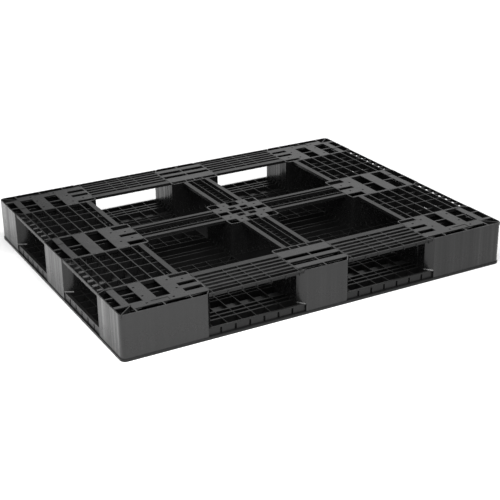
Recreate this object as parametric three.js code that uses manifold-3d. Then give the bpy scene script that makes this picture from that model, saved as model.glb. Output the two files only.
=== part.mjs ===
// Four-way-entry plastic pallet, 1400 x 1100 x 150 mm, lying on its load face with its underside up.
// Millimetres, +X along the long side, +Y along the short side, +Z out of the pallet's underside.
// The origin is the centre of the load face, which rests on z = 0.
//
// The pallet is a ribbed load deck, nine hollow blocks standing on it, a base plate let into the top of
// each block, and twelve base rails that bridge the bays between the blocks.

import * as THREE from 'three';
import { mergeVertices } from 'three/addons/utils/BufferGeometryUtils.js';
import Module from 'manifold-3d';

const wasm = await Module();
wasm.setup();

// Driving dimensions.
const LENGTH = 1400;
const WIDTH = 1100;
const HEIGHT = 150;
const DECK_HEIGHT = 34;
const BASE_THICKNESS = 12;
const GAP = 0.3; // between neighbouring pieces

// Where the blocks begin and end, measured from the middle of the pallet.
const MID_BLOCK = { x: 96, y: 95 };
const CORNER_BLOCK = { x: 398, y: 360 };
const LIP = 2; // how far the deck's lip stands out from the faces of the blocks
const LIP_HEIGHT = 8;
const HALF = { x: LENGTH / 2, y: WIDTH / 2 };
const FACE = { x: HALF.x - LIP, y: HALF.y - LIP };
const CORNER_RADIUS = 17;
const INNER_RADIUS = 12;
const BAY_RECESS = { x: 2.5, y: 6 }; // how far the deck's rim and the rails stand back from the blocks' faces

// The lead-in chamfers beside the fork entries: along the outer face, and into the bay.
const LEAD_LONG_SIDE = { along: 20, into: 27 };
const LEAD_SHORT_SIDE = { along: 16, into: 30 };

// Walls and ribs.
const BLOCK_WALL = 3.5;
const BLOCK_RIB = 2.5;
const DECK_RIB = 2.5;
const DECK_RIM = 4;
const LOAD_SKIN = 3;

// Edges of the windows in the base, measured from the middle of the pallet.
const CROSS_HALF = { x: 52.5, y: 54 };
const SIDE_RAIL_INNER = HALF.x - 277.5;
const LONG_RAIL_INNER = HALF.y - 165;

const BASE_UNDER = HEIGHT - BASE_THICKNESS;

// A closed mesh geometry as a manifold-3d solid.
function toSolid(geometry) {
  const bare = geometry.clone();
  bare.deleteAttribute('normal');
  bare.deleteAttribute('uv');
  const merged = mergeVertices(bare, 1e-4);
  return new wasm.Manifold(new wasm.Mesh({
    numProp: 3,
    vertProperties: merged.attributes.position.array,
    triVerts: new Uint32Array(merged.index.array),
  }));
}

// A manifold-3d solid as a three.js geometry.
function toGeometry(solid) {
  const mesh = solid.getMesh();
  const geometry = new THREE.BufferGeometry();
  geometry.setAttribute('position', new THREE.BufferAttribute(mesh.vertProperties, 3));
  geometry.setIndex(new THREE.BufferAttribute(mesh.triVerts, 1));
  return geometry.toNonIndexed();
}

// The solid that fills an outline between heights low and high.
function extrude(outline, low, high) {
  const shape = new THREE.Shape(outline);
  const geometry = new THREE.ExtrudeGeometry(shape, { depth: high - low, bevelEnabled: false });
  return toSolid(geometry.translate(0, 0, low));
}

// A solid with rectangular openings cut into it from height low upwards.
function cutOpenings(solid, openings, low) {
  const cutters = openings.map((box) => extrude(rectangle(box), low, HEIGHT + 1));
  return solid.subtract(wasm.Manifold.union(cutters));
}

// The four corners of a box given as { x: [low, high], y: [low, high] }.
function rectangle({ x, y }) {
  return [
    new THREE.Vector2(x[0], y[0]),
    new THREE.Vector2(x[1], y[0]),
    new THREE.Vector2(x[1], y[1]),
    new THREE.Vector2(x[0], y[1]),
  ];
}

// An outline from corners { x, y, radius }, each rounded where it has a radius.
function roundedOutline(corners, stepsPerCorner = 3) {
  const points = [];
  corners.forEach((corner, i) => {
    const here = new THREE.Vector2(corner.x, corner.y);
    if (!corner.radius) {
      points.push(here);
      return;
    }
    const before = corners[(i + corners.length - 1) % corners.length];
    const after = corners[(i + 1) % corners.length];
    const back = new THREE.Vector2(before.x, before.y).sub(here).normalize();
    const ahead = new THREE.Vector2(after.x, after.y).sub(here).normalize();
    const start = here.clone().addScaledVector(back, corner.radius);
    const end = here.clone().addScaledVector(ahead, corner.radius);
    const bend = new THREE.QuadraticBezierCurve(start, here, end);
    points.push(...bend.getPoints(stepsPerCorner));
  });
  return points;
}

// The same outline drawn in by an inset, for a plate or cavity inside a wall.
function insetOutline(corners, inset) {
  const n = corners.length;
  const edges = corners.map((corner, i) => {
    const next = corners[(i + 1) % n];
    const along = new THREE.Vector2(next.x - corner.x, next.y - corner.y).normalize();
    const inward = new THREE.Vector2(-along.y, along.x);
    return { from: new THREE.Vector2(corner.x, corner.y).addScaledVector(inward, inset), along };
  });
  return corners.map((corner, i) => {
    const first = edges[(i + n - 1) % n];
    const second = edges[i];
    const apart = second.from.clone().sub(first.from);
    const t = apart.cross(second.along) / first.along.cross(second.along);
    const point = first.from.clone().addScaledVector(first.along, t);
    return { x: point.x, y: point.y, radius: Math.max(0, (corner.radius || 0) - inset) };
  });
}

// Mirrors corners or boxes to another quarter of the pallet, keeping outlines anticlockwise.
function mirrorCorners(corners, sx, sy) {
  const mirrored = corners.map((corner) => ({ ...corner, x: corner.x * sx, y: corner.y * sy }));
  return sx * sy < 0 ? mirrored.reverse() : mirrored;
}

function mirrorBox({ x, y }, sx, sy) {
  const sorted = (a, b) => [Math.min(a, b), Math.max(a, b)];
  return { x: sorted(x[0] * sx, x[1] * sx), y: sorted(y[0] * sy, y[1] * sy) };
}

// Boxes between neighbouring cuts of two lists, each side drawn in by half a rib.
function cellsBetween(xCuts, yCuts, rib) {
  const cells = [];
  for (let i = 0; i + 1 < xCuts.length; i += 1) {
    for (let j = 0; j + 1 < yCuts.length; j += 1) {
      cells.push({
        x: [xCuts[i] + rib / 2, xCuts[i + 1] - rib / 2],
        y: [yCuts[j] + rib / 2, yCuts[j + 1] - rib / 2],
      });
    }
  }
  return cells;
}

// Evenly spaced cuts from low to high.
function evenCuts(low, high, count) {
  return Array.from({ length: count + 1 }, (_, i) => low + ((high - low) * i) / count);
}

// ---- Outlines of the blocks, in the quarter where x and y are positive ----

const cornerOutline = [
  { x: CORNER_BLOCK.x, y: CORNER_BLOCK.y, radius: INNER_RADIUS },
  { x: FACE.x - LEAD_SHORT_SIDE.into, y: CORNER_BLOCK.y },
  { x: FACE.x, y: CORNER_BLOCK.y + LEAD_SHORT_SIDE.along },
  { x: FACE.x, y: FACE.y, radius: CORNER_RADIUS },
  { x: CORNER_BLOCK.x + LEAD_LONG_SIDE.along, y: FACE.y },
  { x: CORNER_BLOCK.x, y: FACE.y - LEAD_LONG_SIDE.into },
];

// The block in the middle of a long side.
const longSideOutline = [
  { x: -MID_BLOCK.x, y: CORNER_BLOCK.y, radius: INNER_RADIUS },
  { x: MID_BLOCK.x, y: CORNER_BLOCK.y, radius: INNER_RADIUS },
  { x: MID_BLOCK.x, y: FACE.y - LEAD_LONG_SIDE.into },
  { x: MID_BLOCK.x - LEAD_LONG_SIDE.along, y: FACE.y },
  { x: -MID_BLOCK.x + LEAD_LONG_SIDE.along, y: FACE.y },
  { x: -MID_BLOCK.x, y: FACE.y - LEAD_LONG_SIDE.into },
];

// The block in the middle of a short side.
const shortSideOutline = [
  { x: CORNER_BLOCK.x, y: -MID_BLOCK.y, radius: INNER_RADIUS },
  { x: FACE.x - LEAD_SHORT_SIDE.into, y: -MID_BLOCK.y },
  { x: FACE.x, y: -MID_BLOCK.y + LEAD_SHORT_SIDE.along },
  { x: FACE.x, y: MID_BLOCK.y - LEAD_SHORT_SIDE.along },
  { x: FACE.x - LEAD_SHORT_SIDE.into, y: MID_BLOCK.y },
  { x: CORNER_BLOCK.x, y: MID_BLOCK.y, radius: INNER_RADIUS },
];

const centreOutline = [
  { x: -MID_BLOCK.x, y: -MID_BLOCK.y, radius: INNER_RADIUS },
  { x: MID_BLOCK.x, y: -MID_BLOCK.y, radius: INNER_RADIUS },
  { x: MID_BLOCK.x, y: MID_BLOCK.y, radius: INNER_RADIUS },
  { x: -MID_BLOCK.x, y: MID_BLOCK.y, radius: INNER_RADIUS },
];

// ---- Ribs inside the blocks, and the openings of the base plates ----
// Corner and short-side plates are strips along Y, then slots along X towards the window.
// Distances are from the pallet's outer faces, then turned into coordinates from its middle.

const fromShortEdge = (d) => HALF.x - d;
const fromLongEdge = (d) => HALF.y - d;
const boxFromEdges = (x, y) => ({
  x: [fromShortEdge(x[1]), fromShortEdge(x[0])],
  y: [fromLongEdge(y[1]), fromLongEdge(y[0])],
});

const POCKET_COLUMNS = [[7, 33], [56.5, 101.5], [145.5, 191]];
const SLOT_COLUMN = [237, 296];

const cornerOpenings = [
  ...POCKET_COLUMNS.flatMap((x) => [boxFromEdges(x, [64, 123]), boxFromEdges(x, [129, 184])]),
  ...[[57, 79], [101, 122], [165, 184]].map((y) => boxFromEdges(SLOT_COLUMN, y)),
  ...[[36, 57], [61, 145], [149, 233], [237, 278]].map((x) => boxFromEdges(x, [7, 26])),
  boxFromEdges([7, 33], [35, 60]),
];

const shortSideOpenings = [
  ...POCKET_COLUMNS.slice(1).flatMap((x) => [
    { x: boxFromEdges(x, [0, 1]).x, y: [-85, -3] },
    { x: boxFromEdges(x, [0, 1]).x, y: [3, 85] },
  ]),
  ...[[-72, -3], [3, 72]].map((y) => ({ x: boxFromEdges([7, 31], [0, 1]).x, y })),
  ...[[-85, -57], [-9, 9], [57, 85]].map((y) => ({ x: boxFromEdges(SLOT_COLUMN, [0, 1]).x, y })),
];

const longSideOpenings = [[7, 26], [57, 79], [101, 122], [165, 184]].flatMap((y, row) => {
  const end = row === 0 ? MID_BLOCK.x - 28 : MID_BLOCK.x - 8;
  return [
    { x: [-end, -2], y: boxFromEdges([0, 1], y).y },
    { x: [2, end], y: boxFromEdges([0, 1], y).y },
  ];
});

const centreOpenings = [
  ...[-1, 1].flatMap((side) => [
    mirrorBox({ x: [56, 88], y: [57, 87] }, side, 1),
    mirrorBox({ x: [56, 88], y: [-87, -57] }, side, 1),
    mirrorBox({ x: [18, 34], y: [24, 40] }, side, 1),
    mirrorBox({ x: [18, 34], y: [-40, -24] }, side, 1),
    mirrorBox({ x: [3, 88], y: [-8, 8] }, side, 1),
  ]),
  { x: [-16, 16], y: [57, 87] },
  { x: [-16, 16], y: [-87, -57] },
];

const BLOCK_KINDS = {
  corner: {
    outline: cornerOutline,
    ribsX: [213, 124, 46].map(fromShortEdge),
    ribsY: [126, 45].map(fromLongEdge),
    openings: cornerOpenings,
  },
  longSide: {
    outline: longSideOutline,
    ribsX: [0],
    ribsY: [144, 90, 42].map(fromLongEdge),
    openings: longSideOpenings,
  },
  shortSide: {
    outline: shortSideOutline,
    ribsX: [213, 124, 46].map(fromShortEdge),
    ribsY: [0],
    openings: shortSideOpenings,
  },
  centre: {
    outline: centreOutline,
    ribsX: [-43, 0, 43],
    ribsY: [-43, 0, 43],
    openings: centreOpenings,
  },
};

// The deck's outline, drawn in by a margin from the faces of the blocks.
function deckPlan(margin) {
  const x = FACE.x - margin.x;
  const y = FACE.y - margin.y;
  const radius = CORNER_RADIUS - margin.x;
  return roundedOutline([
    { x: -x, y: -y, radius },
    { x, y: -y, radius },
    { x, y, radius },
    { x: -x, y, radius },
  ]);
}

// A hollow block: walls up to the base plane, ribs up to the seat of the base plate, and on the outer
// faces a skirt that hangs in front of the deck's rim, down to the lip.
function blockGeometry(kind, sx, sy) {
  const corners = mirrorCorners(kind.outline, sx, sy);
  const outer = extrude(roundedOutline(corners), LIP_HEIGHT + GAP, HEIGHT)
    .subtract(extrude(deckPlan({ x: BAY_RECESS.x - GAP, y: BAY_RECESS.y - GAP }), 0, DECK_HEIGHT + GAP));
  const inside = roundedOutline(insetOutline(corners, BLOCK_WALL));
  const xs = kind.outline.map((corner) => corner.x);
  const ys = kind.outline.map((corner) => corner.y);
  const ribs = [
    ...kind.ribsX.map((x) => ({
      x: [x - BLOCK_RIB / 2, x + BLOCK_RIB / 2],
      y: [Math.min(...ys), Math.max(...ys)],
    })),
    ...kind.ribsY.map((y) => ({
      x: [Math.min(...xs), Math.max(...xs)],
      y: [y - BLOCK_RIB / 2, y + BLOCK_RIB / 2],
    })),
  ];
  let cavity = extrude(inside, DECK_HEIGHT, HEIGHT + 1);
  for (const rib of ribs) {
    cavity = cavity.subtract(extrude(rectangle(mirrorBox(rib, sx, sy)), DECK_HEIGHT - 1, BASE_UNDER - GAP));
  }
  return toGeometry(outer.subtract(cavity));
}

// The plate let into the top of a block.
function plateGeometry(kind, sx, sy) {
  const corners = insetOutline(mirrorCorners(kind.outline, sx, sy), BLOCK_WALL + GAP);
  const openings = kind.openings.map((box) => mirrorBox(box, sx, sy));
  return toGeometry(cutOpenings(extrude(roundedOutline(corners), BASE_UNDER, HEIGHT), openings, DECK_HEIGHT));
}

// ---- Base rails, in the quarter where x and y are positive ----

// A rail along a long side: an outer rim, six rows of slots and a wide inner flange.
function longRail() {
  const x = [MID_BLOCK.x + GAP, CORNER_BLOCK.x - GAP];
  const outerEdge = FACE.y - BAY_RECESS.y;
  const middle = (x[0] + x[1]) / 2;
  const columns = [x[0] + 1.5, middle - 50.5, middle, middle + 50.5, x[1] - 1.5];
  const rows = [27, 51, 74.5, 98, 121.5, 142].map(fromLongEdge);
  const holes = cellsBetween(columns, rows.slice().reverse(), 4)
    .map((cell) => ({ x: cell.x, y: [cell.y[0] + 2, cell.y[1] - 2] }));
  const outerRow = cellsBetween(evenCuts(x[0] + 1.5, x[1] - 1.5, 6), [fromLongEdge(26), outerEdge - 1.5], 4);
  return { outline: rectangle({ x, y: [LONG_RAIL_INNER, outerEdge] }), holes: [...holes, ...outerRow] };
}

// A rail along a short side: thin ribs both ways and a wide inner flange.
function shortRail() {
  const y = [MID_BLOCK.y + GAP, CORNER_BLOCK.y - GAP];
  const outerEdge = FACE.x - BAY_RECESS.x;
  const middle = (y[0] + y[1]) / 2;
  const columns = [259, 234, 190, 145, 101, 57, 33, HALF.x - outerEdge + 1.5].map(fromShortEdge);
  const rows = [y[0] + 1, middle - 26, middle + 26, y[1] - 1];
  return { outline: rectangle({ x: [SIDE_RAIL_INNER, outerEdge], y }), holes: cellsBetween(columns, rows, 4) };
}

// The arm of the middle cross that runs along X.
function crossArmX() {
  const x = [MID_BLOCK.x + GAP, CORNER_BLOCK.x - GAP];
  const slots = [[-30, -20], [-7, 7], [20, 30]].map((y) => ({ x: [x[0] + 3, x[1] - 3], y }));
  return { outline: rectangle({ x, y: [-CROSS_HALF.y, CROSS_HALF.y] }), holes: slots };
}

// The arm of the middle cross that runs along Y.
function crossArmY() {
  const y = [MID_BLOCK.y + GAP, CORNER_BLOCK.y - GAP];
  const slots = [[-34, -20], [-16, 16], [20, 34]].map((x) => ({ x, y: [y[0] + 3, y[1] - 3] }));
  return { outline: rectangle({ x: [-CROSS_HALF.x, CROSS_HALF.x], y }), holes: slots };
}

function railGeometry({ outline, holes }, sx, sy) {
  const rail = extrude(roundedOutline(mirrorCorners(outline, sx, sy)), BASE_UNDER, HEIGHT);
  return toGeometry(cutOpenings(rail, holes.map((box) => mirrorBox(box, sx, sy)), DECK_HEIGHT));
}

// ---- Load deck ----

// Cuts of the deck's rib grid along one axis, so that ribs run under the walls of the blocks.
function deckCuts(mid, corner, edge, cellsInBay) {
  const half = [
    ...evenCuts(0, mid, 1),
    ...evenCuts(mid, corner, cellsInBay).slice(1),
    ...evenCuts(corner, edge, cellsInBay).slice(1),
  ];
  return [...half.slice(1).reverse().map((value) => -value), ...half];
}

// The ribbed tray with its rim, the lip around its load face, and open cells between the ribs.
function deckGeometry() {
  const lip = extrude(deckPlan({ x: -LIP, y: -LIP }), 0, LIP_HEIGHT);
  const tray = extrude(deckPlan(BAY_RECESS), 0, DECK_HEIGHT);
  const rim = DECK_RIM - DECK_RIB / 2;
  const xCuts = deckCuts(MID_BLOCK.x, CORNER_BLOCK.x, FACE.x - BAY_RECESS.x - rim, 3);
  const yCuts = deckCuts(MID_BLOCK.y, CORNER_BLOCK.y, FACE.y - BAY_RECESS.y - rim, 2);
  return toGeometry(cutOpenings(lip.add(tray), cellsBetween(xCuts, yCuts, DECK_RIB), LOAD_SKIN));
}

// ---- Assembly ----

const blackPlastic = new THREE.MeshStandardMaterial({ color: 0x1c1c1d, roughness: 0.45, metalness: 0 });

const pallet = new THREE.Group();

function addPiece(name, geometry) {
  const mesh = new THREE.Mesh(geometry, blackPlastic.clone());
  mesh.name = name;
  geometry.computeVertexNormals();
  pallet.add(mesh);
}

addPiece('load_deck', deckGeometry());

const ENDS = { left: -1, right: 1 };
const SIDES = { front: -1, back: 1 };

function addBlockAndPlate(place, kind, sx, sy) {
  addPiece(`block_${place}`, blockGeometry(kind, sx, sy));
  addPiece(`base_plate_${place}`, plateGeometry(kind, sx, sy));
}

addBlockAndPlate('centre', BLOCK_KINDS.centre, 1, 1);
for (const [side, sy] of Object.entries(SIDES)) {
  addBlockAndPlate(side, BLOCK_KINDS.longSide, 1, sy);
  addPiece(`cross_rail_${side}`, railGeometry(crossArmY(), 1, sy));
}
for (const [end, sx] of Object.entries(ENDS)) {
  addBlockAndPlate(end, BLOCK_KINDS.shortSide, sx, 1);
  addPiece(`cross_rail_${end}`, railGeometry(crossArmX(), sx, 1));
}
for (const [side, sy] of Object.entries(SIDES)) {
  for (const [end, sx] of Object.entries(ENDS)) {
    addBlockAndPlate(`${side}_${end}`, BLOCK_KINDS.corner, sx, sy);
    addPiece(`long_rail_${side}_${end}`, railGeometry(longRail(), sx, sy));
    addPiece(`short_rail_${side}_${end}`, railGeometry(shortRail(), sx, sy));
  }
}

export default pallet;
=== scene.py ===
import math

import bmesh
import bpy
import numpy as np
from mathutils import Matrix, Vector


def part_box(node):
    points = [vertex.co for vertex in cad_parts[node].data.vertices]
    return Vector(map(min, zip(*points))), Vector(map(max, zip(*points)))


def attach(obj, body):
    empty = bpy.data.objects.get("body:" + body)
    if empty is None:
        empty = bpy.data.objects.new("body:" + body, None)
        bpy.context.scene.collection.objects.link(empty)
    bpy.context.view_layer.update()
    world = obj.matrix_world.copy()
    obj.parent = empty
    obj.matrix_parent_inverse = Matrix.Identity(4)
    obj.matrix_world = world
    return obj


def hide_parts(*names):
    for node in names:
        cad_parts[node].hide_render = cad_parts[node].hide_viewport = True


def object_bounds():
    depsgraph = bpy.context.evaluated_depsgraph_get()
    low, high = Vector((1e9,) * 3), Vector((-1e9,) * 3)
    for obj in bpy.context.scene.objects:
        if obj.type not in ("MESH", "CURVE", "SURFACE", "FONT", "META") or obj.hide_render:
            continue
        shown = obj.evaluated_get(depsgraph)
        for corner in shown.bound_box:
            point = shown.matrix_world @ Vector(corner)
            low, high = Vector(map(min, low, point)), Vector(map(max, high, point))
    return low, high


# Looks of a black plastic pallet that lies on its load face, underside up.
# Shapes are worked out in millimetres from the middle of the pallet, in the quarter where x and y are
# positive, and mirrored to the other quarters. Distances called "from the edge" start at the outer lip.

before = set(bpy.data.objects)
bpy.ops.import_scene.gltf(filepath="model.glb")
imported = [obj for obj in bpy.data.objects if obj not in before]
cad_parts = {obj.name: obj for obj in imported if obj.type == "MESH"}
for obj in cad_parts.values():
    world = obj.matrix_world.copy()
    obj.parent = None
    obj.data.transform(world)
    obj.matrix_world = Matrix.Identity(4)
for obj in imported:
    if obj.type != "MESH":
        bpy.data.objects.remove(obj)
cad_low, cad_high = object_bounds()

MM = 0.001
HALF_X = round(cad_high.x / MM)
HALF_Y = round(cad_high.y / MM)
HEIGHT = round(cad_high.z / MM)

# ---- Driving dimensions ----

MID_X, MID_Y = 96, 95  # half width of the middle blocks
CORNER_X, CORNER_Y = 398, 360  # inner sides of the corner blocks
LIP = 2  # how far the lip stands out from the faces of the blocks
LIP_HEIGHT = 8
FACE_X, FACE_Y = HALF_X - LIP, HALF_Y - LIP
CORNER_RADIUS = 17
INNER_RADIUS = 12
RECESS_X, RECESS_Y = 2.5, 6  # how far the deck's rim and the rails stand back from the blocks' faces
LEAD_LONG = (20, 27)  # lead-in chamfer beside a fork entry of a long side: along the face, into the bay
LEAD_SHORT = (16, 30)
DECK_TOP = round(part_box("load_deck")[1].z / MM)
GAP = 0.3  # between neighbouring pieces
ARC_STEPS = 7  # straight pieces in a rounded corner

# The deck.
TRAY_FOOT = 0.5  # how far the tray's load face lies inside the lip
LIP_BITE = 1  # how far the lip runs into the rim
SKIN = 3
DECK_RIB = 2.4
DECK_RIM = 7
SLOT_DEPTH = 6  # upright recesses in the rim
SLOT_WIDTH = 7
SLOT_HEADROOM = 5  # between a recess and the top of the rim
FIRST_SLOT_X, FIRST_SLOT_Y = 27, 32  # from the end of a bay to the middle of its first recess

# The blocks.
WALL = 3.5
BLOCK_RIB = 2.5
RIB_BITE = 0.5  # how far the ribs inside a block run into its wall
INNER_TOP = HEIGHT - 13
FLUTE_PITCH = 44
FLUTE_WIDTH = 14
FLUTE_DEPTH = 0.5
FLUTE_SLOPE = 0.6  # width of a flute's sloping sides
FLUTE_MARGIN = 8  # plain length kept on each fluted face
BEAD = 3.5  # reach and rise of the bead at the foot of a lead-in chamfer
BEAD_END = 1  # how far the bead stops short of each end of the chamfer
GUSSET_PITCH = 22
GUSSET_REACH = 6
GUSSET_RISE = 11
GUSSET_WIDTH = 1.8
GUSSET_TIP = 0.5  # reach of a gusset at its top
GUSSET_MARGIN = 16  # kept free of gussets at the inner corners of a block
GUSSET_SETBACK = 60  # the same beside the outer faces

# The base plates.
PLATE_LOW = HEIGHT - 12
PLATE_SKIN = HEIGHT - 3.5  # underside of the plate inside its skirt
PLATE_SKIRT = 3
PANEL_DEPTH = 1.2  # depth of the plain sunk panels

# Undersides of the parts of the base rails, and the tops of the rungs in the middle cross.
RAIL_LOW = HEIGHT - 10
STRIP_LOW = HEIGHT - 15
LONG_RIM_LOW = HEIGHT - 4
WEB_LOW = HEIGHT - 12
SHORT_RIM_LOW = HEIGHT - 10.5
DEEP_LOW = HEIGHT - 24
OUTER_ROW_LOW = HEIGHT - 12.5
RUNG_LOW = HEIGHT - 16
RUNG_TOP = HEIGHT - 9

# Tops of the parts of the rails that lie below the base plane.
SUNK_TOP = HEIGHT - 6
OUTER_ROW_TOP = HEIGHT - 1.5

# ---- Mesh helpers ----


def grid_mesh(layers):
    """A closed mesh from layers (solid, boxes): each box (x0, x1, y0, y1, z0, z1) is filled or cleared."""
    cuts = []
    for axis in range(3):
        ends = {round(b[2 * axis + i], 3) for _, boxes in layers for b in boxes for i in (0, 1)}
        cuts.append(sorted(ends))
    place = [{value: i for i, value in enumerate(values)} for values in cuts]
    filled = np.zeros([len(values) + 1 for values in cuts], bool)
    for solid, boxes in layers:
        for b in boxes:
            low = [place[a][round(b[2 * a], 3)] + 1 for a in range(3)]
            high = [place[a][round(b[2 * a + 1], 3)] + 1 for a in range(3)]
            filled[low[0]:high[0], low[1]:high[1], low[2]:high[2]] = solid
    quads = []
    for axis in range(3):
        u, v = (axis + 1) % 3, (axis + 2) % 3
        step = np.diff(filled.astype(int), axis=axis)
        cells = np.argwhere(step)
        corners = []
        for du, dv in ((-1, -1), (0, -1), (0, 0), (-1, 0)):
            corner = cells.copy()
            corner[:, u] += du
            corner[:, v] += dv
            corners.append(corner)
        faces = np.stack(corners, axis=1)
        inward = step[tuple(cells.T)] > 0
        faces[inward] = faces[inward][:, ::-1]
        quads.append(faces)
    quads = np.concatenate(quads)
    points, index = np.unique(quads.reshape(-1, 3), axis=0, return_inverse=True)
    values = [np.array(c) for c in cuts]
    bm = bmesh.new()
    verts = [bm.verts.new([values[a][p[a]] for a in range(3)]) for p in points]
    for face in index.reshape(-1, 4):
        bm.faces.new([verts[i] for i in face])
    bmesh.ops.dissolve_limit(bm, angle_limit=0.001, verts=bm.verts, edges=bm.edges)
    return bm


def wall_path(corners):
    """Points round an outline as (point, outward vector, skirt depth).

    A corner is (x, y, radius, skirt): skirt is the depth of the skirt on the edge that starts there."""
    path = []
    count = len(corners)
    for i, (x, y, radius, skirt) in enumerate(corners):
        here = Vector((x, y))
        before = Vector(corners[i - 1][:2])
        after = Vector(corners[(i + 1) % count][:2])
        arrive = (here - before).normalized()
        leave = (after - here).normalized()
        out_in = Vector((arrive.y, -arrive.x))
        out_on = Vector((leave.y, -leave.x))
        skirt_in = corners[i - 1][3]
        if radius:
            centre = here - arrive * radius + leave * radius
            for step in range(ARC_STEPS + 1):
                t = step / ARC_STEPS
                turn = t * math.pi / 2
                out = out_in * math.cos(turn) + out_on * math.sin(turn)
                depth = None if skirt_in is None else skirt_in + (skirt - skirt_in) * t
                path.append((centre + out * radius, out, depth))
        else:
            mitre = (out_in + out_on) / (1 + out_in.dot(out_on))
            path.append((here, mitre, skirt_in))
            if (skirt_in is None) != (skirt is None):
                path.append((here, mitre, skirt))
    return path


def fluted(path, axis):
    """The path with shallow flutes let into its long straight edges that run along an axis."""
    made = []
    for i, (point, out, skirt) in enumerate(path):
        made.append((point, out, skirt))
        after, out_after, _ = path[(i + 1) % len(path)]
        span = after - point
        if span.length < 3 * FLUTE_PITCH or abs(span[1 - axis]) > 1 or skirt is not None:
            continue
        along = span.normalized()
        normal = Vector((along.y, -along.x))
        count = int((span.length - FLUTE_MARGIN) // FLUTE_PITCH)
        start = (span.length - count * FLUTE_PITCH) / 2
        profile = ((0, 0), (FLUTE_SLOPE, 1), (FLUTE_WIDTH - FLUTE_SLOPE, 1), (FLUTE_WIDTH, 0))
        for k in range(count):
            for offset, sunk in profile:
                spot = point + along * (start + k * FLUTE_PITCH + (FLUTE_PITCH - FLUTE_WIDTH) / 2 + offset)
                made.append((spot - normal * FLUTE_DEPTH * sunk, normal, None))
    return made


def shell_mesh(path, low, high, skirt_low, wall):
    """A hollow wall on a path, open above and below, with a skirt that hangs in front of the deck's rim."""
    loops = [[] for _ in range(6)]
    for point, out, skirt in path:
        foot = low if skirt is None else skirt_low
        deep = wall if skirt is None else skirt
        at_skirt = point - out * deep
        at_wall = point - out * wall
        section = (
            (point, foot),
            (point, high),
            (at_wall, high),
            (at_wall, low),
            (at_skirt, low),
            (at_skirt, foot),
        )
        for loop, (spot, z) in zip(loops, section):
            loop.append((spot.x, spot.y, z))
    bm = bmesh.new()
    verts = [[bm.verts.new(p) for p in loop] for loop in loops]
    count = len(path)
    for j, lower in enumerate(verts):
        upper = verts[(j + 1) % len(verts)]
        for i in range(count):
            k = (i + 1) % count
            bm.faces.new((lower[i], lower[k], upper[k], upper[i]))
    bmesh.ops.remove_doubles(bm, verts=bm.verts, dist=0.01)
    bmesh.ops.dissolve_degenerate(bm, dist=0.01, edges=bm.edges)
    bmesh.ops.dissolve_limit(bm, angle_limit=0.001, verts=bm.verts, edges=bm.edges)
    return bm


def clip(bm, outline):
    """Cuts away what lies outside a convex, anticlockwise outline."""
    count = len(outline)
    for i in range(count):
        start, end = outline[i], outline[(i + 1) % count]
        along = end - start
        if along.length < 0.05:
            continue
        normal = Vector((along.y, -along.x, 0)).normalized()
        geometry = bm.verts[:] + bm.edges[:] + bm.faces[:]
        cut = bmesh.ops.bisect_plane(
            bm, geom=geometry, dist=0.001, plane_co=(start.x, start.y, 0), plane_no=normal, clear_outer=True
        )
        edges = [e for e in cut["geom_cut"] if isinstance(e, bmesh.types.BMEdge) and e.is_boundary]
        if edges:
            bmesh.ops.edgenet_fill(bm, edges=edges)
    bmesh.ops.recalc_face_normals(bm, faces=bm.faces)


def prism(points, low, high, top_points=None):
    """A closed solid on an outline, with its top outline where that differs."""
    bm = bmesh.new()
    lower = [bm.verts.new((x, y, low)) for x, y in points]
    upper = [bm.verts.new((x, y, high)) for x, y in (top_points or points)]
    count = len(points)
    bm.faces.new(lower[::-1])
    bm.faces.new(upper)
    for i in range(count):
        k = (i + 1) % count
        bm.faces.new((lower[i], lower[k], upper[k], upper[i]))
    bmesh.ops.recalc_face_normals(bm, faces=bm.faces)
    return bm


def bar(start, end, width, low, high):
    """A straight rib between two points, as a closed solid."""
    start, end = Vector(start), Vector(end)
    side = (end - start).normalized().orthogonal() * width / 2
    corners = (start - side, end - side, end + side, start + side)
    return prism([(p.x, p.y) for p in corners], low, high)


def gusset(foot, out, reach, rise, thick, low):
    """A triangular rib at the foot of a wall: foot is on the wall, out is the direction away from it."""
    side = Vector((-out.y, out.x)) * thick / 2
    tip = foot + out * reach
    sunk = foot - out
    lower = [sunk - side, tip - side, tip + side, sunk + side]
    top = foot + out * GUSSET_TIP
    upper = [sunk - side, top - side, top + side, sunk + side]
    return prism([(p.x, p.y) for p in lower], low, low + rise, [(p.x, p.y) for p in upper])


SMOOTH_ANGLE = 32
BEVEL_ANGLE = 40


def add_piece(name, node, material, meshes, sx, sy, bevel, segments=1):
    """Joins closed meshes, mirrors them to a quarter, and makes them a piece of the object."""
    mesh = bpy.data.meshes.new(name)
    joined = bmesh.new()
    for bm in meshes:
        part = bpy.data.meshes.new("part")
        bm.to_mesh(part)
        joined.from_mesh(part)
        bpy.data.meshes.remove(part)
    bmesh.ops.scale(joined, vec=(sx * MM, sy * MM, MM), verts=joined.verts)
    if sx * sy < 0:
        bmesh.ops.reverse_faces(joined, faces=joined.faces)
    joined.to_mesh(mesh)
    joined.free()
    mesh.shade_smooth()
    mesh.set_sharp_from_angle(angle=math.radians(SMOOTH_ANGLE))
    piece = bpy.data.objects.new(name, mesh)
    bpy.context.scene.collection.objects.link(piece)
    mesh.materials.append(material)
    edge = piece.modifiers.new("edges", "BEVEL")
    edge.width = bevel * MM
    edge.segments = segments
    edge.limit_method = "ANGLE"
    edge.angle_limit = math.radians(BEVEL_ANGLE)
    edge.use_clamp_overlap = True
    edge.harden_normals = True
    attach(piece, "root")
    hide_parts(node)
    return piece


# ---- Materials ----


def new_material(name):
    material = bpy.data.materials.new(name)
    material.use_nodes = True
    tree = material.node_tree
    shader = tree.nodes["Principled BSDF"]
    return material, tree, shader


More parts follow.
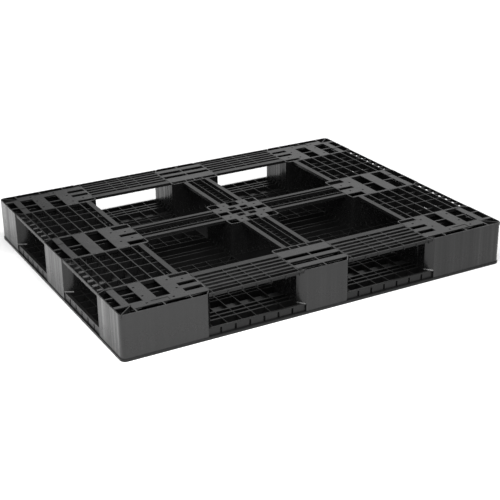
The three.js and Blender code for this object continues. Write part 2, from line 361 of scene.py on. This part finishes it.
def noise(tree, source, scale, detail=3.0, stretch=(1, 1, 1)):
    """Noise in object space, with its own scale along each axis."""
    mapping = tree.nodes.new("ShaderNodeMapping")
    mapping.inputs["Scale"].default_value = stretch
    tree.links.new(source, mapping.inputs["Vector"])
    node = tree.nodes.new("ShaderNodeTexNoise")
    node.inputs["Scale"].default_value = scale
    node.inputs["Detail"].default_value = detail
    tree.links.new(mapping.outputs["Vector"], node.inputs["Vector"])
    return node.outputs["Fac"]


def ramp(tree, source, stops):
    node = tree.nodes.new("ShaderNodeValToRGB")
    for element, (position, value) in zip(node.color_ramp.elements, stops):
        element.position = position
        element.color = (value, value, value * 1.01, 1)
    tree.links.new(source, node.inputs["Fac"])
    return node.outputs["Color"]


def mix(tree, factor, first, second):
    """A blend of two colours, by another socket or by a fixed share."""
    node = tree.nodes.new("ShaderNodeMix")
    node.data_type = "RGBA"
    if isinstance(factor, float):
        node.inputs["Factor"].default_value = factor
    else:
        tree.links.new(factor, node.inputs["Factor"])
    tree.links.new(first, node.inputs["A"])
    tree.links.new(second, node.inputs["B"])
    return node.outputs["Result"]


def map_range(tree, source, span, target):
    node = tree.nodes.new("ShaderNodeMapRange")
    node.inputs["From Min"].default_value, node.inputs["From Max"].default_value = span
    node.inputs["To Min"].default_value, node.inputs["To Max"].default_value = target
    tree.links.new(source, node.inputs["Value"])
    return node.outputs["Result"]


def bump(tree, height, strength, distance, normal=None):
    node = tree.nodes.new("ShaderNodeBump")
    node.inputs["Strength"].default_value = strength
    node.inputs["Distance"].default_value = distance
    tree.links.new(height, node.inputs["Height"])
    if normal is not None:
        tree.links.new(normal, node.inputs["Normal"])
    return node.outputs["Normal"]


def black_plastic(
    name, tones, roughness, specular, grain_scale, grain_strength, speckle, waves, foot_wear=0.0
):
    """Black polypropylene: cloudy tone, moulding streaks, fine grain and pale scuffs.

    waves is the height in metres of wide upright ripples, foot_wear the extra roughness near the floor."""
    material, tree, shader = new_material(name)
    place = tree.nodes.new("ShaderNodeTexCoord").outputs["Object"]
    clouds = noise(tree, place, 7, 4)
    streaks = noise(tree, place, 90, 4, (1, 1, 0.04))
    grain = noise(tree, place, grain_scale, 2)
    flecks = noise(tree, place, 260, 5)
    tone = ramp(tree, clouds, ((0.32, tones[0]), (0.68, tones[1])))
    fleck_tone = ramp(tree, flecks, ((0.3, tones[0] * 0.8), (0.75, tones[1] * speckle)))
    scratches = noise(tree, place, 60, 8, (1, 7, 3))
    scuff = ramp(tree, scratches, ((0.66, 0.0), (0.8, 0.6)))
    scuff_tone = ramp(tree, clouds, ((0.3, tones[1] * 1.6), (0.7, tones[1] * 2.2)))
    colour = mix(tree, scuff, mix(tree, 0.5, tone, fleck_tone), scuff_tone)
    tree.links.new(colour, shader.inputs["Base Color"])
    shader.inputs["IOR"].default_value = 1.49
    shader.inputs["Specular IOR Level"].default_value = specular
    drag = noise(tree, place, 22, 5, (1, 1, 0.05))
    finish = map_range(tree, mix(tree, clouds, drag, flecks), (0.3, 0.7), roughness)
    height = tree.nodes.new("ShaderNodeSeparateXYZ")
    tree.links.new(place, height.inputs["Vector"])
    wear = map_range(tree, height.outputs["Z"], (0.0, HEIGHT * MM * 0.8), (foot_wear, 0.0))
    total = tree.nodes.new("ShaderNodeMath")
    tree.links.new(finish, total.inputs[0])
    tree.links.new(wear, total.inputs[1])
    tree.links.new(total.outputs["Value"], shader.inputs["Roughness"])
    relief = bump(tree, noise(tree, place, 13, 3, (1, 1, 0.03)), 1.0, waves)
    relief = bump(tree, streaks, 0.35, 0.0006, relief)
    relief = bump(tree, grain, grain_strength, 0.0004, relief)
    tree.links.new(relief, shader.inputs["Normal"])
    return material


smooth_black = black_plastic(
    "smooth_black", tones=(0.005, 0.008), roughness=(0.14, 0.26), specular=0.38,
    grain_scale=900, grain_strength=0.1, speckle=1.2, waves=0.009, foot_wear=0.14,
)
deck_black = black_plastic(
    "deck_black", tones=(0.006, 0.010), roughness=(0.28, 0.40), specular=0.2,
    grain_scale=900, grain_strength=0.1, speckle=1.2, waves=0.0005,
)
grained_black = black_plastic(
    "grained_black", tones=(0.006, 0.012), roughness=(0.25, 0.35), specular=0.32,
    grain_scale=230, grain_strength=0.7, speckle=2.2, waves=0.0005,
)
rail_black = black_plastic(
    "rail_black", tones=(0.004, 0.008), roughness=(0.28, 0.38), specular=0.22,
    grain_scale=300, grain_strength=0.5, speckle=1.8, waves=0.0005,
)

# ---- Outlines of the blocks: (x, y, radius, depth of the skirt on the next edge) ----

SKIRT_X = RECESS_X - GAP  # on faces of the short sides
SKIRT_Y = RECESS_Y - GAP

OUTLINES = {
    "corner": [
        (CORNER_X, CORNER_Y, INNER_RADIUS, None),
        (FACE_X - LEAD_SHORT[1], CORNER_Y, 0, None),
        (FACE_X, CORNER_Y + LEAD_SHORT[0], 0, SKIRT_X),
        (FACE_X, FACE_Y, CORNER_RADIUS, SKIRT_Y),
        (CORNER_X + LEAD_LONG[0], FACE_Y, 0, None),
        (CORNER_X, FACE_Y - LEAD_LONG[1], 0, None),
    ],
    "long_side": [
        (-MID_X, CORNER_Y, INNER_RADIUS, None),
        (MID_X, CORNER_Y, INNER_RADIUS, None),
        (MID_X, FACE_Y - LEAD_LONG[1], 0, None),
        (MID_X - LEAD_LONG[0], FACE_Y, 0, SKIRT_Y),
        (-MID_X + LEAD_LONG[0], FACE_Y, 0, None),
        (-MID_X, FACE_Y - LEAD_LONG[1], 0, None),
    ],
    "short_side": [
        (CORNER_X, -MID_Y, INNER_RADIUS, None),
        (FACE_X - LEAD_SHORT[1], -MID_Y, 0, None),
        (FACE_X, -MID_Y + LEAD_SHORT[0], 0, SKIRT_X),
        (FACE_X, MID_Y - LEAD_SHORT[0], 0, None),
        (FACE_X - LEAD_SHORT[1], MID_Y, 0, None),
        (CORNER_X, MID_Y, INNER_RADIUS, None),
    ],
    "centre": [
        (-MID_X, -MID_Y, INNER_RADIUS, None),
        (MID_X, -MID_Y, INNER_RADIUS, None),
        (MID_X, MID_Y, INNER_RADIUS, None),
        (-MID_X, MID_Y, INNER_RADIUS, None),
    ],
}


def from_edges(x, y, low=PLATE_LOW, high=HEIGHT):
    """A box whose x and y spans are measured from the outer edges."""
    return (HALF_X - x[1], HALF_X - x[0], HALF_Y - y[1], HALF_Y - y[0], low, high)


def along_x(x, y, low=PLATE_LOW, high=HEIGHT):
    """A box whose x span is measured from the middle and its y span from the edge."""
    return (x[0], x[1], HALF_Y - y[1], HALF_Y - y[0], low, high)


def along_y(x, y, low=PLATE_LOW, high=HEIGHT):
    """A box whose x span is measured from the edge and its y span from the middle."""
    return (HALF_X - x[1], HALF_X - x[0], y[0], y[1], low, high)


def both_ways(boxes, mirror_x, mirror_y):
    """The boxes with their mirror images."""
    made = list(boxes)
    if mirror_x:
        made += [(-b[1], -b[0], *b[2:]) for b in made]
    if mirror_y:
        made += [(b[0], b[1], -b[3], -b[2], b[4], b[5]) for b in made]
    return made


# ---- Openings of the base plates ----

POCKETS = ((7, 33), (56.5, 101.5), (145.5, 191))
SLOT_SPAN = (237, 298)
DOT = 3.4  # half width of a small square hole
DOT_DEPTH = 5  # more than the thickness of the plate's skin


def dots(places):
    return [(x - DOT, x + DOT, y - DOT, y + DOT, HEIGHT - DOT_DEPTH, HEIGHT) for x, y in places]


def edge_dots(places):
    return dots([(HALF_X - x, HALF_Y - y) for x, y in places])


PLATES = {
    "corner": {
        "cuts": [
            *(from_edges(x, y) for x in POCKETS for y in ((64, 121.5), (127, 184))),
            *(from_edges(SLOT_SPAN, y) for y in ((57, 79), (101, 122), (165, 184))),
            *(from_edges(x, (3, 27)) for x in ((60, 145.5), (149.5, 233), (237, 296))),
            from_edges((3, 55), (3, 50)),
            from_edges((3, 7), (50, 187)),
            *edge_dots([(112.5, 159), (112.5, 92.5), (104, 42.5)]),
            *edge_dots([(223, 159), (224.5, 92.5), (191, 42.5), (267.5, 144)]),
        ],
        "sunk": [from_edges((33, 56.5), (135, 184)), from_edges((120, 175), (28, 52))],
        "bars": [((HALF_X - 58, HALF_Y - 53), (HALF_X - 6, HALF_Y - 6), 3)],
    },
    "short_side": {
        "cuts": [
            *both_ways([along_y(x, (2.75, 86)) for x in POCKETS[1:]], False, True),
            *both_ways([along_y((3, 33), (2.75, 90))], False, True),
            *both_ways([along_y(SLOT_SPAN, (56, 86))], False, True),
            along_y(SLOT_SPAN, (-10, 10)),
            *dots([(HALF_X - x, side * y) for x, y in ((268.5, 30), (223, 43.5)) for side in (1, -1)]),
        ],
        "sunk": [along_y((33, 56.5), (-40, 40))],
        "bars": [],
    },
    "long_side": {
        "cuts": [
            *both_ways([along_x((2, 94), y) for y in ((52, 77), (97.5, 120))], True, False),
            *both_ways([along_x((2, 94), (3, 28))], True, False),
            *both_ways([along_x((2, 31.5), (165, 184)), along_x((34.5, 90), (165, 184))], True, False),
        ],
        "sunk": [],
        "bars": [],
    },
    "centre": {
        "cuts": both_ways([
            (2, 47, -14, 14, PLATE_LOW, HEIGHT),
            (54, 91, -14, 14, PLATE_LOW, HEIGHT),
            (8, 36, 21, 42, PLATE_LOW, HEIGHT),
            (57, 91.5, 58, 91.5, PLATE_LOW, HEIGHT),
            (-20, 20, 58, 91, PLATE_LOW, HEIGHT),
            *dots([(38, 68), (66, 36)]),
        ], True, True),
        "sunk": [],
        "bars": [],
    },
}

INNER_RIBS = {
    "corner": ([HALF_X - d for d in (213, 124, 46)], [HALF_Y - d for d in (124, 44)]),
    "long_side": ([0], [HALF_Y - d for d in (144, 88, 39)]),
    "short_side": ([HALF_X - d for d in (213, 124, 46)], [0]),
    "centre": ([-43, 0, 43], [-43, 0, 43]),
}


def outline_box(path):
    xs = [point.x for point, _, _ in path]
    ys = [point.y for point, _, _ in path]
    return min(xs), max(xs), min(ys), max(ys)


def block_meshes(kind):
    """The wall of a block, the ribs inside it, and the gussets and beads at its foot."""
    path = wall_path(OUTLINES[kind])
    x0, x1, y0, y1 = outline_box(path)
    walls = fluted(fluted(path, 0), 1)
    shell = shell_mesh(walls, DECK_TOP + GAP, HEIGHT, LIP_HEIGHT + GAP, WALL)
    across, along = INNER_RIBS[kind]
    half = BLOCK_RIB / 2
    low, high = DECK_TOP + GAP, INNER_TOP
    ribs = grid_mesh([(True, [
        *((x - half, x + half, y0, y1, low, high) for x in across),
        *((x0, x1, y - half, y + half, low, high) for y in along),
    ])])
    clip(ribs, [point - out * (WALL - RIB_BITE) for point, out, _ in path])
    return [shell, ribs, *foot_gussets(kind, (x0, x1, y0, y1)), *chamfer_beads(kind)]


def chamfer_beads(kind):
    """A thin sloping bead where each lead-in chamfer meets the deck."""
    outline = OUTLINES[kind]
    made = []
    for i, (x, y, _, _) in enumerate(outline):
        along = Vector(outline[(i + 1) % len(outline)][:2]) - Vector((x, y))
        if min(abs(along.x), abs(along.y)) < 1:
            continue
        out = Vector((along.y, -along.x)).normalized()
        middle = Vector((x, y)) + along / 2
        made.append(gusset(middle, out, BEAD, BEAD, along.length - 2 * BEAD_END, DECK_TOP + GAP))
    return made


def foot_gussets(kind, box):
    """Small triangular ribs where the inner sides of a block meet the deck."""
    x0, x1, y0, y1 = box
    low = DECK_TOP + GAP
    made = []
    inner_sides = {
        "corner": (("x", -1), ("y", -1)),
        "long_side": (("x", -1), ("x", 1), ("y", -1)),
        "short_side": (("y", -1), ("y", 1), ("x", -1)),
        "centre": (("x", -1), ("x", 1), ("y", -1), ("y", 1)),
    }[kind]
    for axis, sign in inner_sides:
        if axis == "x":
            wall = x0 if sign < 0 else x1
            start = y0 + GUSSET_MARGIN
            end = min(y1 - GUSSET_MARGIN, FACE_Y - GUSSET_SETBACK)
            out = Vector((sign, 0))
        else:
            wall = y0 if sign < 0 else y1
            start = x0 + GUSSET_MARGIN
            end = min(x1 - GUSSET_MARGIN, FACE_X - GUSSET_SETBACK)
            out = Vector((0, sign))
        count = int((end - start) // GUSSET_PITCH)
        for i in range(count + 1):
            spot = start + (end - start) * i / count
            foot = Vector((wall, spot)) if axis == "x" else Vector((spot, wall))
            made.append(gusset(foot, out, GUSSET_REACH, GUSSET_RISE, GUSSET_WIDTH, low))
    return made


def plate_mesh(kind):
    """The plate let into the top of a block, cut to the shape of the block."""
    path = wall_path(OUTLINES[kind])
    x0, x1, y0, y1 = outline_box(path)
    plate = PLATES[kind]
    sunk = [(*b[:4], HEIGHT - PANEL_DEPTH, HEIGHT) for b in plate["sunk"]]
    inset = WALL + GAP + PLATE_SKIRT
    bm = grid_mesh([
        (True, [(x0, x1, y0, y1, PLATE_LOW, HEIGHT)]),
        (False, [(x0 + inset, x1 - inset, y0 + inset, y1 - inset, PLATE_LOW, PLATE_SKIN)]),
        (False, [*plate["cuts"], *sunk]),
    ])
    clip(bm, [point - out * (WALL + GAP) for point, out, _ in path])
    bars = [bar(start, end, width, PLATE_LOW, HEIGHT) for start, end, width in plate["bars"]]
    return [bm, *bars]


# ---- Base rails ----

BAY_X = (MID_X + GAP, CORNER_X - GAP)
BAY_Y = (MID_Y + GAP, CORNER_Y - GAP)
BAY_MIDDLE_X = sum(BAY_X) / 2
BAY_MIDDLE_Y = sum(BAY_Y) / 2
RIB = 1.5  # half the thickness of a rib between slots
OUTER_RIB = 2.5  # the same in the outer row of a short rail
SHORT_PITCH = 53
OUTER_PITCH = 37.9
LONG_SLOTS = (37.5, 62, 85.5, 108.5, 133)  # middles of the slots in a long rail, from the edge
SLOT_HALF = 7.4
LONG_FLANGE = 165  # inner edge of a long rail, from the edge
LONG_RIM = (4, 9.5)  # spans of the outer rim, its wall and the ribs, from the edge
LONG_WALL = (7.5, 9.5)
LONG_ROW = 26  # inner edge of the outer row
LONG_RIBS = (5, 140)
LONG_RIB_PITCH = 50
WEB = 2
LONG_RIM_STOP = 6  # how far the outer rims stop short of the outer ends of the chamfers
SHORT_RIM_STOP = 2
SHORT_FLANGE = (259, 277.5)  # span from the edge
SHORT_ROWS = (31.5, 57.5, 101, 145, 190, 234)  # middles of the ribs along a short rail, from the edge
SHORT_ROW_HALF = 2
SHORT_RIM = 2.5
SHORT_ROW = 31  # inner edge of the outer row
SHORT_RIBS = 260  # inner end of the ribs across a short rail, from the edge
CROSS_X_FLANGES = ((39, 54), (21, 24.5))  # a flange and a thin rib on each side of the arm's middle
CROSS_Y_FLANGES = ((36, 52.5), (15.7, 18.2))
RUNG_PITCH = 25
RUNG_HALF = 1.2
RUNG_REACH_X, RUNG_REACH_Y = 40, 37  # half lengths of the rungs in the arms along X and Y


def long_rail():
    """A rail along a long side: an inner flange, strips with slots between them, and an open outer row."""
    solid = [along_x(BAY_X, (LONG_SLOTS[-1] + SLOT_HALF, LONG_FLANGE), RAIL_LOW)]
    for near, far in zip(LONG_SLOTS, LONG_SLOTS[1:]):
        solid.append(along_x(BAY_X, (near + SLOT_HALF, far - SLOT_HALF), STRIP_LOW))
    solid.append(along_x(BAY_X, (LONG_ROW, LONG_SLOTS[0] - SLOT_HALF + 1), STRIP_LOW))
    rim_span = (MID_X - LEAD_LONG[0] + LONG_RIM_STOP, CORNER_X + LEAD_LONG[0] - LONG_RIM_STOP)
    solid.append(along_x(rim_span, LONG_RIM, LONG_RIM_LOW))
    solid.append(along_x(rim_span, LONG_WALL, WEB_LOW))
    solid.append(along_x(BAY_X, (LONG_WALL[1], LONG_ROW), WEB_LOW, WEB_LOW + WEB))
    for step in (-1, 0, 1):
        x = BAY_MIDDLE_X + step * LONG_RIB_PITCH
        solid.append(along_x((x - RIB, x + RIB), LONG_RIBS, STRIP_LOW))
    for step in (-2, 2):
        x = BAY_MIDDLE_X + step * LONG_RIB_PITCH
        solid.append(along_x((x - RIB, x + RIB), LONG_RIBS, STRIP_LOW, SUNK_TOP))
    for x in (BAY_X[0] + RIB, BAY_X[1] - RIB):
        solid.append(along_x((x - RIB, x + RIB), LONG_RIBS, STRIP_LOW))
    return solid


def short_rail():
    """A rail along a short side: thin ribs both ways behind a wide inner flange."""
    outer = LIP + RECESS_X
    solid = [along_y(SHORT_FLANGE, BAY_Y, RAIL_LOW)]
    for x in SHORT_ROWS:
        solid.append(along_y((x - SHORT_ROW_HALF, x + SHORT_ROW_HALF), BAY_Y, DEEP_LOW))
    rim_span = (MID_Y - LEAD_SHORT[0] + SHORT_RIM_STOP, CORNER_Y + LEAD_SHORT[0] - SHORT_RIM_STOP)
    solid.append(along_y((outer, outer + SHORT_RIM), rim_span, SHORT_RIM_LOW))
    for step in (-1.5, -0.5, 0.5, 1.5):
        y = BAY_MIDDLE_Y + step * SHORT_PITCH
        top = HEIGHT if abs(step) < 1 else SUNK_TOP
        solid.append(along_y((SHORT_ROW, SHORT_RIBS), (y - RIB, y + RIB), DEEP_LOW, top))
    for step in (-2.5, -1.5, -0.5, 0.5, 1.5, 2.5):
        y = BAY_MIDDLE_Y + step * OUTER_PITCH
        rib = (y - OUTER_RIB, y + OUTER_RIB)
        solid.append(along_y((outer, SHORT_ROW), rib, OUTER_ROW_LOW, OUTER_ROW_TOP))
    for y in (BAY_Y[0] + RIB, BAY_Y[1] - RIB):
        solid.append(along_y((outer, SHORT_RIBS), (y - RIB, y + RIB), RAIL_LOW))
    return solid


def cross_arm_x():
    """The arm of the middle cross along X: two flanges and two thin ribs on low rungs."""
    solid = both_ways([(*BAY_X, *y, RAIL_LOW, HEIGHT) for y in CROSS_X_FLANGES], False, True)
    solid += rungs(BAY_X, lambda x: (
        x - RUNG_HALF, x + RUNG_HALF, -RUNG_REACH_X, RUNG_REACH_X, RUNG_LOW, RUNG_TOP,
    ))
    return solid


def cross_arm_y():
    """The arm of the middle cross along Y: two flanges and two thin ribs on low rungs."""
    solid = both_ways([(*x, *BAY_Y, RAIL_LOW, HEIGHT) for x in CROSS_Y_FLANGES], True, False)
    solid += rungs(BAY_Y, lambda y: (
        -RUNG_REACH_Y, RUNG_REACH_Y, y - RUNG_HALF, y + RUNG_HALF, RUNG_LOW, RUNG_TOP,
    ))
    return solid


def rungs(span, box):
    """Boxes spread evenly over a span, with one at each end."""
    low, high = span[0] + RIB, span[1] - RIB
    count = round((high - low) / RUNG_PITCH)
    return [box(low + (high - low) * i / count) for i in range(count + 1)]


# ---- Load deck ----

BAY_PITCH = 50
THIN_ROWS = (190, 170)  # ribs along X, from the edge
WIDE_ROWS = (101, 77.5, 54)
WIDE_HALF = 3.4
BAND = (122, 148)  # a plain, sunk strip of the deck along X, from the edge
BAND_DEPTH = 12
MIDDLE_ROWS = (MID_Y, 56, 11)  # ribs along X, from the middle
END_COLUMNS = (14, 54, 101, 148, 195, 242)  # ribs along Y, from the edge
BRACE = 50  # reach of a corner brace each way
BRACE_BITE = 1  # how far it runs into the skin
BRACE_DROP = 0.2  # how far its top lies below the ribs


def deck_plan(margin_x, margin_y):
    """The deck's rounded outline, drawn in from the faces of the blocks."""
    x, y = FACE_X - margin_x, FACE_Y - margin_y
    radius = CORNER_RADIUS - margin_x
    corners = [(-x, -y, radius, None), (x, -y, radius, None), (x, y, radius, None), (-x, y, radius, None)]
    return [point for point, _, _ in wall_path(corners)]


def deck_ribs():
    """Boxes of the deck's ribs, mirrored to all four quarters."""
    half = DECK_RIB / 2
    rim_x, rim_y = FACE_X - RECESS_X, FACE_Y - RECESS_Y
    ribs = []
    for step in range(-2, 3):
        x = BAY_MIDDLE_X + step * BAY_PITCH
        ribs.append((x - half, x + half, MID_Y, rim_y, 0, DECK_TOP))
    for x in (MID_X, CORNER_X):
        ribs.append((x - half, x + half, 0, rim_y, 0, DECK_TOP))
    for row in THIN_ROWS:
        y = HALF_Y - row
        ribs.append((0, rim_x, y - half, y + half, 0, DECK_TOP))
    for row in WIDE_ROWS:
        y = HALF_Y - row
        ribs.append((0, rim_x, y - WIDE_HALF, y + WIDE_HALF, 0, DECK_TOP))
    ribs.append((0, rim_x, HALF_Y - BAND[1], HALF_Y - BAND[0], 0, DECK_TOP - BAND_DEPTH))
    for y in MIDDLE_ROWS:
        ribs.append((0, rim_x, y - half, y + half, 0, DECK_TOP))
    for step in range(-2, 3):
        y = BAY_MIDDLE_Y + step * BAY_PITCH
        ribs.append((MID_X, rim_x, y - half, y + half, 0, DECK_TOP))
    for column in END_COLUMNS:
        x = HALF_X - column
        ribs.append((x - half, x + half, 0, rim_y, 0, DECK_TOP))
    return both_ways(ribs, True, True)


def rim_slots():
    """Upright recesses in the deck's rim in the fork entries, one for each cell."""
    low, high = LIP_HEIGHT, DECK_TOP - SLOT_HEADROOM
    rim_x, rim_y = FACE_X - RECESS_X, FACE_Y - RECESS_Y
    half = SLOT_WIDTH / 2
    slots = []
    for step in range(6):
        x = BAY_X[0] + FIRST_SLOT_X + step * BAY_PITCH
        slots.append((x - half, x + half, rim_y - SLOT_DEPTH, rim_y + 1, low, high))
    for step in range(5):
        y = BAY_Y[0] + FIRST_SLOT_Y + step * BAY_PITCH
        slots.append((rim_x - SLOT_DEPTH, rim_x + 1, y - half, y + half, low, high))
    return both_ways(slots, True, True)


def deck_meshes():
    """The ribbed tray, the lip round its load face, and braces in the corners of the windows."""
    rim_x, rim_y = FACE_X - RECESS_X, FACE_Y - RECESS_Y
    inner_x, inner_y = rim_x - DECK_RIM, rim_y - DECK_RIM
    tray = grid_mesh([
        (True, [(-rim_x, rim_x, -rim_y, rim_y, TRAY_FOOT, DECK_TOP)]),
        (False, [(-inner_x, inner_x, -inner_y, inner_y, SKIN, DECK_TOP)]),
        (True, [(*b[:4], TRAY_FOOT, b[5]) for b in deck_ribs()]),
        (False, rim_slots()),
    ])
    clip(tray, deck_plan(RECESS_X, RECESS_Y))
    lip = deck_plan(-LIP, -LIP)
    inside = deck_plan(RECESS_X + LIP_BITE, RECESS_Y + LIP_BITE)
    ring = bmesh.new()
    loops = []
    for points, z in ((lip, 0), (lip, LIP_HEIGHT), (inside, LIP_HEIGHT), (inside, 0)):
        loops.append([ring.verts.new((p.x, p.y, z)) for p in points])
    count = len(lip)
    for j, lower in enumerate(loops):
        upper = loops[(j + 1) % len(loops)]
        for i in range(count):
            k = (i + 1) % count
            ring.faces.new((lower[i], lower[k], upper[k], upper[i]))
    braces = []
    for sx in (-1, 1):
        for sy in (-1, 1):
            for start, end in (
                ((CORNER_X, CORNER_Y), (CORNER_X - BRACE, CORNER_Y - BRACE)),
                ((MID_X, MID_Y), (MID_X + BRACE, MID_Y + BRACE)),
                ((MID_X, CORNER_Y), (MID_X + BRACE, CORNER_Y - BRACE)),
                ((CORNER_X, MID_Y), (CORNER_X - BRACE, MID_Y + BRACE)),
            ):
                a = (start[0] * sx, start[1] * sy)
                b = (end[0] * sx, end[1] * sy)
                braces.append(bar(a, b, DECK_RIB, SKIN - BRACE_BITE, DECK_TOP - BRACE_DROP))
    return [tray, ring, *braces]


# ---- Pieces ----

EDGE = 0.5  # widths of the bevels
RAIL_EDGE = 0.8
BLOCK_EDGE = 0.7


def add_block_and_plate(place, kind, sx, sy):
    block = f"block_{place}"
    plate = f"base_plate_{place}"
    add_piece(
        f"{block}_shell", block, smooth_black, block_meshes(kind), sx, sy, BLOCK_EDGE, 2
    )
    add_piece(
        f"{plate}_top", plate, grained_black, plate_mesh(kind), sx, sy, EDGE
    )


def add_rail(name, boxes, sx, sy):
    bm = grid_mesh([(True, boxes)])
    add_piece(f"{name}_lattice", name, rail_black, [bm], sx, sy, RAIL_EDGE)


add_piece("load_deck_tray", "load_deck", deck_black, deck_meshes(), 1, 1, EDGE)
ENDS = {"left": -1, "right": 1}
SIDES = {"front": -1, "back": 1}

add_block_and_plate("centre", "centre", 1, 1)
for side, sy in SIDES.items():
    add_block_and_plate(side, "long_side", 1, sy)
    add_rail(f"cross_rail_{side}", cross_arm_y(), 1, sy)
for end, sx in ENDS.items():
    add_block_and_plate(end, "short_side", sx, 1)
    add_rail(f"cross_rail_{end}", cross_arm_x(), sx, 1)
for side, sy in SIDES.items():
    for end, sx in ENDS.items():
        add_block_and_plate(f"{side}_{end}", "corner", sx, sy)
        add_rail(f"long_rail_{side}_{end}", long_rail(), sx, sy)
        add_rail(f"short_rail_{side}_{end}", short_rail(), sx, sy)

# ---- Floor, light and camera ----


def add_floor(size, tone):
    bpy.ops.mesh.primitive_plane_add(size=size, location=(0, 0, -0.0005))
    floor = bpy.context.object
    floor.name = "floor"
    material, _, shader = new_material("floor")
    shader.inputs["Base Color"].default_value = (tone, tone, tone, 1)
    shader.inputs["Roughness"].default_value = 0.9
    floor.data.materials.append(material)


def add_sun(name, strength, spread, direction):
    light = bpy.data.lights.new(name, "SUN")
    light.energy = strength
    light.angle = math.radians(spread)
    lamp = bpy.data.objects.new(name, light)
    lamp.rotation_euler = Vector(direction).to_track_quat("-Z", "Y").to_euler()
    bpy.context.scene.collection.objects.link(lamp)


def add_area(name, power, size, place, target):
    light = bpy.data.lights.new(name, "AREA")
    light.energy = power
    light.size = size
    lamp = bpy.data.objects.new(name, light)
    lamp.location = place
    lamp.rotation_euler = (Vector(target) - Vector(place)).to_track_quat("-Z", "Y").to_euler()
    bpy.context.scene.collection.objects.link(lamp)


def add_world(strength):
    world = bpy.data.worlds.new("studio")
    world.use_nodes = True
    background = world.node_tree.nodes["Background"]
    background.inputs["Color"].default_value = (1, 1, 1, 1)
    background.inputs["Strength"].default_value = strength
    bpy.context.scene.world = world


def add_camera():
    data = bpy.data.cameras.new("camera")
    data.lens = 82.1
    data.sensor_width = 36
    data.clip_end = 100
    camera = bpy.data.objects.new("camera", data)
    camera.location = (-1.7712, -3.2626, 1.5924)
    azimuth, pitch, roll = math.radians(-28.88), math.radians(23.24), math.radians(-0.76)
    turn = (
        Matrix.Rotation(azimuth, 3, "Z")
        @ Matrix.Rotation(math.pi / 2 - pitch, 3, "X")
        @ Matrix.Rotation(roll, 3, "Z")
    )
    camera.rotation_euler = turn.to_euler()
    bpy.context.scene.collection.objects.link(camera)
    bpy.context.scene.camera = camera


add_floor(size=60, tone=0.88)
add_world(strength=0.32)
add_sun("fill", 1.9, 50, (0.25, 0.2, -0.95))
add_sun("key", 1.2, 20, (-0.45, 0.35, -0.82))
add_area("left_box", 19, 1.0, (-1.45, -1.0, 1.3), (-1.45, -1.0, 0.0))
add_area("front_box", 13, 0.6, (-0.45, -1.05, 1.2), (-0.45, -1.05, 0.0))
add_area("back_box", 36, 4.0, (3.0, 4.5, 2.6), (0, 0, 0.1))
add_camera()
bpy.context.scene.view_settings.view_transform = "Standard"
